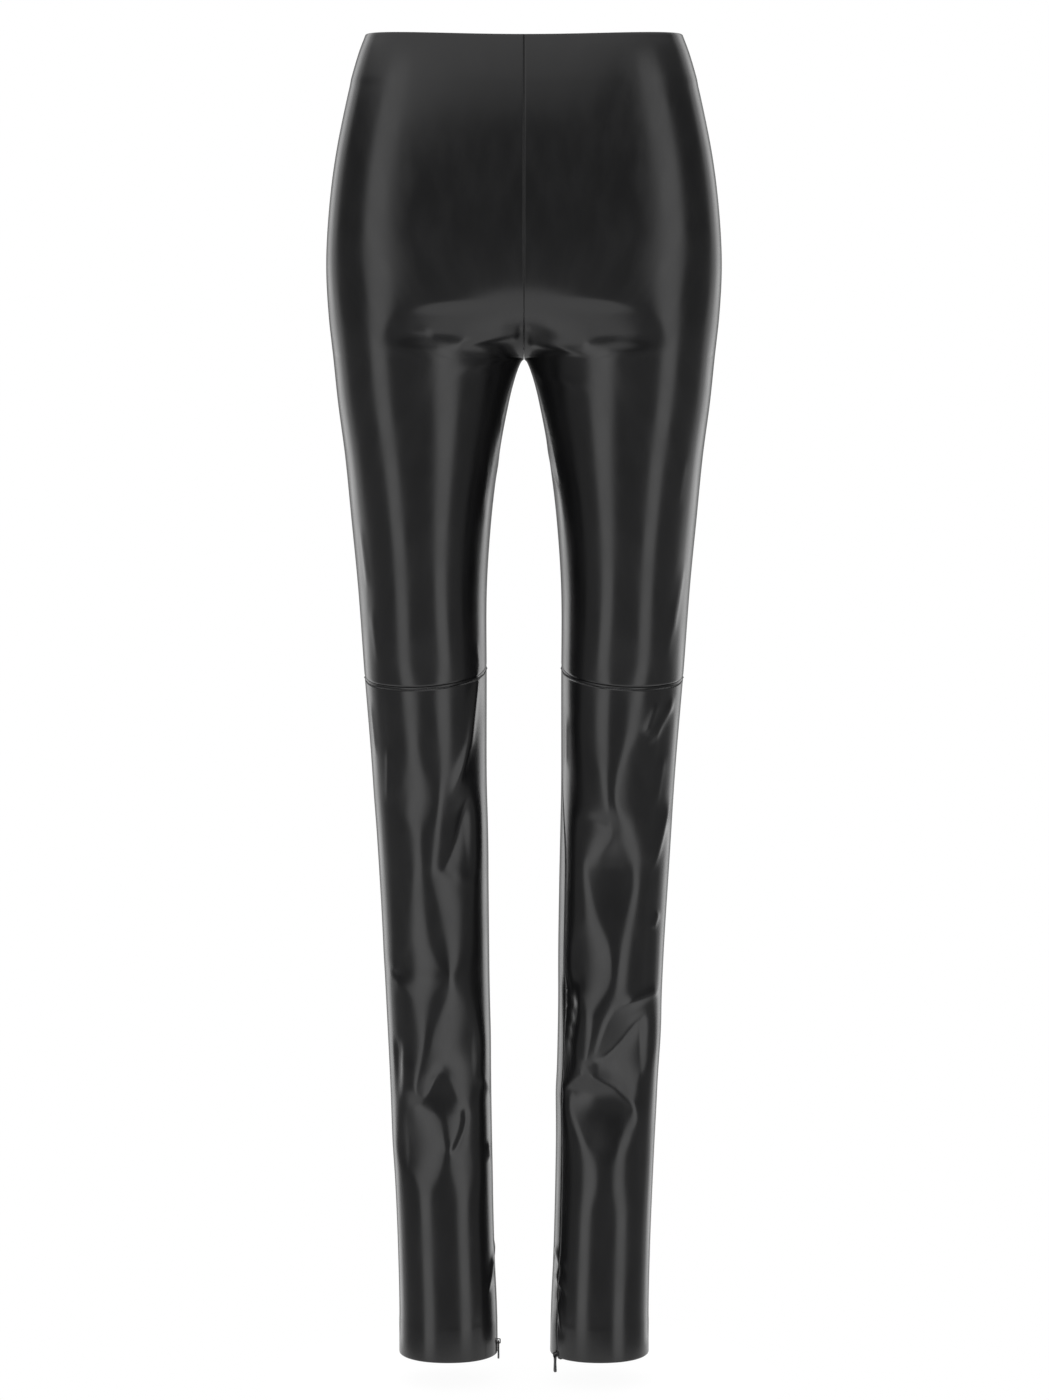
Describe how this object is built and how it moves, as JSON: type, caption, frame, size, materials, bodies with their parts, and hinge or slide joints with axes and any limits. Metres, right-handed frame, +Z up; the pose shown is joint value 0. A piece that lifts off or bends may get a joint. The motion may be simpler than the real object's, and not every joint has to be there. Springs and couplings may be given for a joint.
{
  "type": "leggings",
  "caption": "High-waisted long leggings in glossy stretch faux leather, worn shape with no wearer, with seamed knees and inner-ankle zips.",
  "frame": {"origin": "middle of the waist, level with the waist edge at the sides", "axes": "+Z up out of the waist, -Y to the front, +X to the wearer's left"},
  "size_m": [0.328, 0.2172, 1.1329],
  "materials": {
    "faux_leather": "glossy black polyurethane-coated stretch cloth",
    "facing": "matt black knitted back of the same cloth",
    "zip_tape": "matt black woven tape",
    "zip_metal": "satin black enamel"
  },
  "bodies": {
    "garment": {"front_left_thigh": "faux_leather", "front_right_thigh": "faux_leather", "back_left_thigh": "faux_leather", "back_right_thigh": "faux_leather", "front_left_shin": "faux_leather", "front_right_shin": "faux_leather", "back_left_calf": "faux_leather", "back_right_calf": "faux_leather", "waist_facing": "facing", "zip_tape_left": "zip_tape", "zip_tape_right": "zip_tape", "zip_slider_left": "zip_metal", "zip_slider_right": "zip_metal"},
    "tab_left": {"zip_tab_left": "zip_metal"},
    "tab_right": {"zip_tab_right": "zip_metal"}
  },
  "joints": [
    {"name": "tab_left_hinge", "type": "hinge", "parent": "garment", "child": "tab_left", "pos_m": [0.02648, -0.01916, -1.1095], "axis": [-0.478, 0.8783, 0], "range_deg": [0, 165]},
    {"name": "tab_right_hinge", "type": "hinge", "parent": "garment", "child": "tab_right", "pos_m": [-0.02176, -0.00444, -1.1015], "axis": [-0.1483, -0.9889, 0], "range_deg": [0, 165]}
  ]
}
